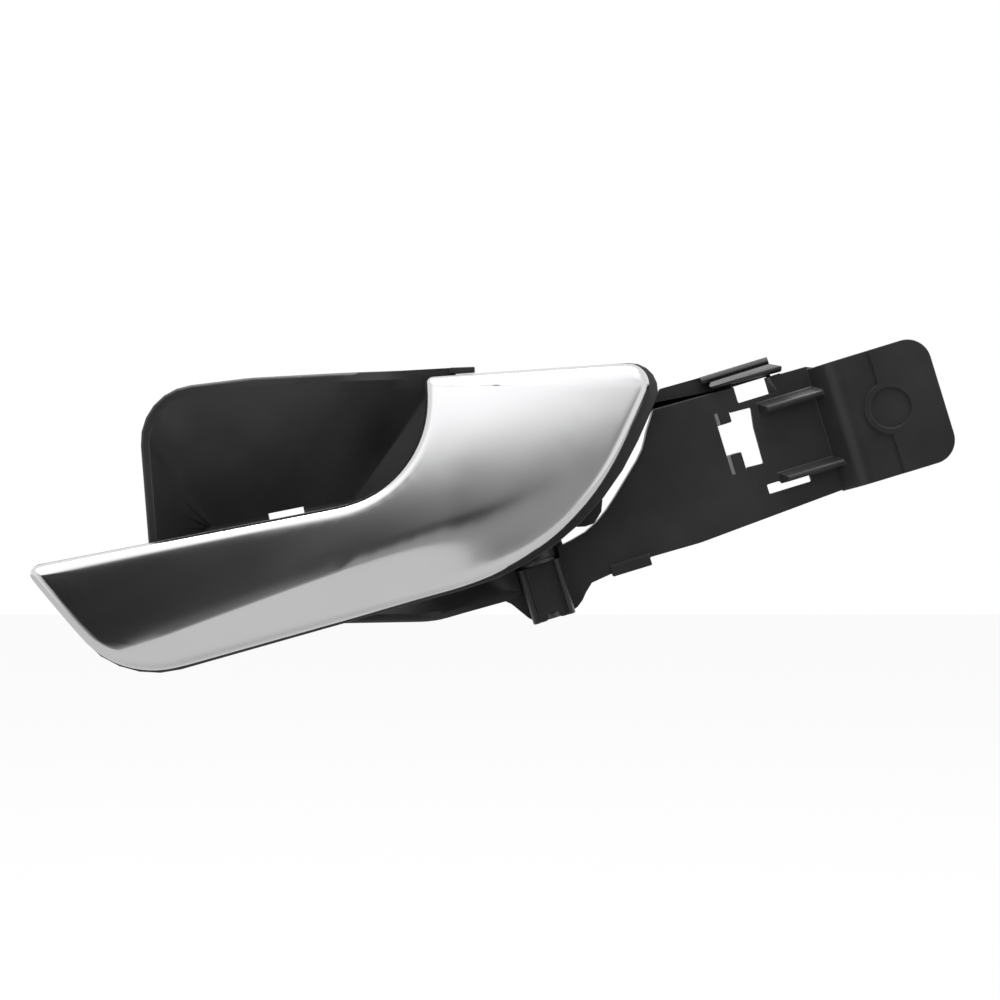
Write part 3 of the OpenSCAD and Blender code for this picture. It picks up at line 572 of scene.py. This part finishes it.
def combined(nodes, links, operation, first, second):
    """Two values through one step of arithmetic; the second may be a plain number."""
    step = nodes.new("ShaderNodeMath")
    step.operation = operation
    links.new(first, step.inputs[0])
    if isinstance(second, float):
        step.inputs[1].default_value = second
    else:
        links.new(second, step.inputs[1])
    return step.outputs["Value"]


def mixed_with_white(nodes, links, lit, share, strength):
    """A lit shader with plain white laid over it by a share."""
    white = nodes.new("ShaderNodeEmission")
    white.inputs["Strength"].default_value = strength
    mix = nodes.new("ShaderNodeMixShader")
    links.new(share, mix.inputs["Fac"])
    links.new(lit, mix.inputs[1])
    links.new(white.outputs["Emission"], mix.inputs[2])
    return mix.outputs["Shader"]


def smooth_step(nodes, links, source, low, high):
    """Zero below low, one above high, and a smooth rise between them."""
    rise = nodes.new("ShaderNodeMapRange")
    rise.interpolation_type = "SMOOTHSTEP"
    rise.inputs["From Min"].default_value = low
    rise.inputs["From Max"].default_value = high
    links.new(source, rise.inputs["Value"])
    return rise.outputs["Result"]


# Light in front of the object: the height of a direction, from -1 to 1, and the level there
SKY_IN_FRONT = ((-1.0, 0.55), (-0.5, 0.45), (-0.25, 0.2), (-0.12, 0.03), (-0.05, 0.012),
                (0.12, 0.04), (0.28, 0.3), (0.45, 0.95), (0.6, 1.38), (0.85, 1.5))
SKY_STRENGTH = 2.0

# The dark screen's top edge rises to the left, between two heights
SLANT_FROM, SLANT, SLANT_MOST = -0.03, 3.0, 0.25
SLANT_FADES = ((0.0, 0.2), (0.55, 0.35))

# Least light to the right of the screen, and where the sides and the back take over
RIGHT_FROM, RIGHT_TO, RIGHT_LEAST = 0.05, 0.12, 0.17
SIDES_FROM, SIDES_TO = 0.4, 0.65
BACK_FROM, BACK_TO = -0.35, 0.1
BACK_GREY = 0.8


def studio_world():
    """A dark screen in front at eye level, soft light above and beside it, white behind."""
    world = bpy.data.worlds.new("Studio")
    bpy.context.scene.world = world
    world.use_nodes = True
    nodes, links = world.node_tree.nodes, world.node_tree.links
    nodes.clear()
    way = nodes.new("ShaderNodeTexCoord")
    parts = nodes.new("ShaderNodeSeparateXYZ")
    links.new(way.outputs["Generated"], parts.inputs["Vector"])
    height = nodes.new("ShaderNodeMapRange")
    height.inputs["From Min"].default_value = -1.0
    slant = combined(nodes, links, "MULTIPLY", parts.outputs["X"], -SLANT)
    slant = combined(nodes, links, "ADD", slant, SLANT * SLANT_FROM)
    slant = combined(nodes, links, "MAXIMUM", slant, 0.0)
    slant = combined(nodes, links, "MINIMUM", slant, SLANT_MOST)
    for low, high in SLANT_FADES:
        slant = combined(nodes, links, "MULTIPLY", slant,
                         smooth_step(nodes, links, parts.outputs["Z"], low, high))
    links.new(combined(nodes, links, "SUBTRACT", parts.outputs["Z"], slant),
              height.inputs["Value"])
    front = nodes.new("ShaderNodeValToRGB")
    ramp = front.color_ramp
    ramp.interpolation = "LINEAR"
    for stop, (z, _) in zip(ramp.elements, (SKY_IN_FRONT[0], SKY_IN_FRONT[-1])):
        stop.position = (z + 1) / 2
    for z, _ in SKY_IN_FRONT[1:-1]:
        ramp.elements.new((z + 1) / 2)
    for stop, (_, level) in zip(ramp.elements, SKY_IN_FRONT):
        stop.color = (level / SKY_STRENGTH,) * 3 + (1,)
    links.new(height.outputs["Result"], front.inputs["Fac"])
    lit = nodes.new("ShaderNodeBackground")
    lit.inputs["Strength"].default_value = SKY_STRENGTH
    to_the_right = smooth_step(nodes, links, parts.outputs["X"], RIGHT_FROM, RIGHT_TO)
    least = combined(nodes, links, "MULTIPLY", to_the_right, RIGHT_LEAST)
    links.new(combined(nodes, links, "MAXIMUM", front.outputs["Color"], least),
              lit.inputs["Color"])
    beside = nodes.new("ShaderNodeBackground")
    beside.inputs["Color"].default_value = (1, 1, 1, 1)
    beside.inputs["Strength"].default_value = 1.0
    aside = combined(nodes, links, "ABSOLUTE", parts.outputs["X"], 0.0)
    sides = nodes.new("ShaderNodeMixShader")
    links.new(smooth_step(nodes, links, aside, SIDES_FROM, SIDES_TO), sides.inputs["Fac"])
    links.new(lit.outputs["Background"], sides.inputs[1])
    links.new(beside.outputs["Background"], sides.inputs[2])
    behind = smooth_step(nodes, links, parts.outputs["Y"], BACK_FROM, BACK_TO)
    grey = nodes.new("ShaderNodeBackground")
    grey.inputs["Color"].default_value = (BACK_GREY,) * 3 + (1,)
    around = nodes.new("ShaderNodeMixShader")
    links.new(behind, around.inputs["Fac"])
    links.new(sides.outputs["Shader"], around.inputs[1])
    links.new(grey.outputs["Background"], around.inputs[2])
    camera, gloss = seen_rays(nodes, links)
    share = combined(nodes, links, "MAXIMUM", camera,
                     combined(nodes, links, "MULTIPLY", gloss, behind))
    out = nodes.new("ShaderNodeOutputWorld")
    links.new(mixed_with_white(nodes, links, around.outputs["Shader"], share, 1.0),
              out.inputs["Surface"])


FLOOR_SIZE = (4, 3)
FLOOR_GREY = 0.37
FLOOR_SEEN_WHITE, FLOOR_GLOSS_WHITE = 0.85, 0.1
FLOOR_WHITE = 1.06


def add_floor(drop, front):
    """Pale floor under the object, white to the eye but for the object's shadow."""
    deselect_all()
    bpy.ops.mesh.primitive_plane_add(size=1, location=(0, 0, 0))
    floor = bpy.context.object
    floor.name = "floor"
    floor.scale = (*FLOOR_SIZE, 1)
    floor.location = (MIDDLE.x, FLOOR_SIZE[1] / 2 - front, -drop)
    bpy.ops.object.transform_apply(location=True, rotation=True, scale=True)
    material, nodes, links, shader = new_material("Pale floor")
    nodes.remove(shader)
    matt = nodes.new("ShaderNodeBsdfDiffuse")
    matt.inputs["Color"].default_value = (FLOOR_GREY,) * 3 + (1,)
    out = nodes["Material Output"]
    camera, gloss = seen_rays(nodes, links)
    share = combined(nodes, links, "MAXIMUM",
                     combined(nodes, links, "MULTIPLY", camera, FLOOR_SEEN_WHITE),
                     combined(nodes, links, "MULTIPLY", gloss, FLOOR_GLOSS_WHITE))
    links.new(mixed_with_white(nodes, links, matt.outputs["BSDF"], share, FLOOR_WHITE),
              out.inputs["Surface"])
    paint(floor, material)


def add_lamp(name, place, aim, size, power):
    """A soft rectangular lamp that shines on a point."""
    lamp = bpy.data.lights.new(name, "AREA")
    lamp.shape = "RECTANGLE"
    lamp.size, lamp.size_y = size
    lamp.energy = power
    holder = bpy.data.objects.new(name, lamp)
    bpy.context.scene.collection.objects.link(holder)
    holder.location = place
    holder.rotation_euler = (aim - place).to_track_quat("-Z", "Y").to_euler()


PICTURE_MIDDLE = Vector((-0.0889, -0.009, -0.021))


class HANDLE_OT_stage(bpy.types.Operator):
    """Camera, pale floor, soft lamp and studio world"""

    bl_idname = "handle.stage"
    bl_label = "Stage"

    def execute(self, context):
        sizes = context.scene.handle_sizes
        scene = context.scene
        scene.view_settings.view_transform = "Standard"
        camera = bpy.data.cameras.new("camera")
        camera.sensor_fit = "HORIZONTAL"
        camera.angle = 2 * math.atan(sizes.picture_width / 2 / sizes.camera_distance)
        camera.clip_start = 0.01
        holder = bpy.data.objects.new("camera", camera)
        scene.collection.objects.link(holder)
        holder.location = PICTURE_MIDDLE - Vector((0, sizes.camera_distance, 0))
        holder.rotation_euler = (math.radians(90), 0, 0)
        scene.camera = holder
        studio_world()
        add_floor(sizes.floor_drop, sizes.floor_front)
        add_lamp("top soft box", Vector((-0.12, -0.06, 0.9)), MIDDLE, size=(0.9, 0.6), power=12.0)
        return {"FINISHED"}


class HANDLE_PT_panel(bpy.types.Panel):
    """Lists the steps that dress the handle"""

    bl_idname = "HANDLE_PT_panel"
    bl_label = "Door handle"
    bl_space_type = "VIEW_3D"
    bl_region_type = "UI"
    bl_category = "Handle"

    def draw(self, context):
        layout = self.layout
        for group in (context.scene.handle_sizes, context.scene.handle_colours):
            box = layout.box()
            for key in group.__annotations__:
                box.prop(group, key)
        for step in STEPS:
            layout.operator(step.bl_idname)


STEPS = (HANDLE_OT_housing, HANDLE_OT_cover, HANDLE_OT_carrier, HANDLE_OT_spring,
         HANDLE_OT_small_parts, HANDLE_OT_stage)
CLASSES = (HandleSizes, HandleColours, *STEPS, HANDLE_PT_panel)


def register():
    for each in CLASSES:
        bpy.utils.register_class(each)
    bpy.types.Scene.handle_sizes = bpy.props.PointerProperty(type=HandleSizes)
    bpy.types.Scene.handle_colours = bpy.props.PointerProperty(type=HandleColours)


def unregister():
    del bpy.types.Scene.handle_colours
    del bpy.types.Scene.handle_sizes
    for each in reversed(CLASSES):
        bpy.utils.unregister_class(each)


def main():
    register()
    bpy.ops.handle.housing()
    bpy.ops.handle.cover()
    bpy.ops.handle.carrier()
    bpy.ops.handle.spring()
    bpy.ops.handle.small_parts()
    bpy.ops.handle.stage()


if __name__ == "__main__":
    main()
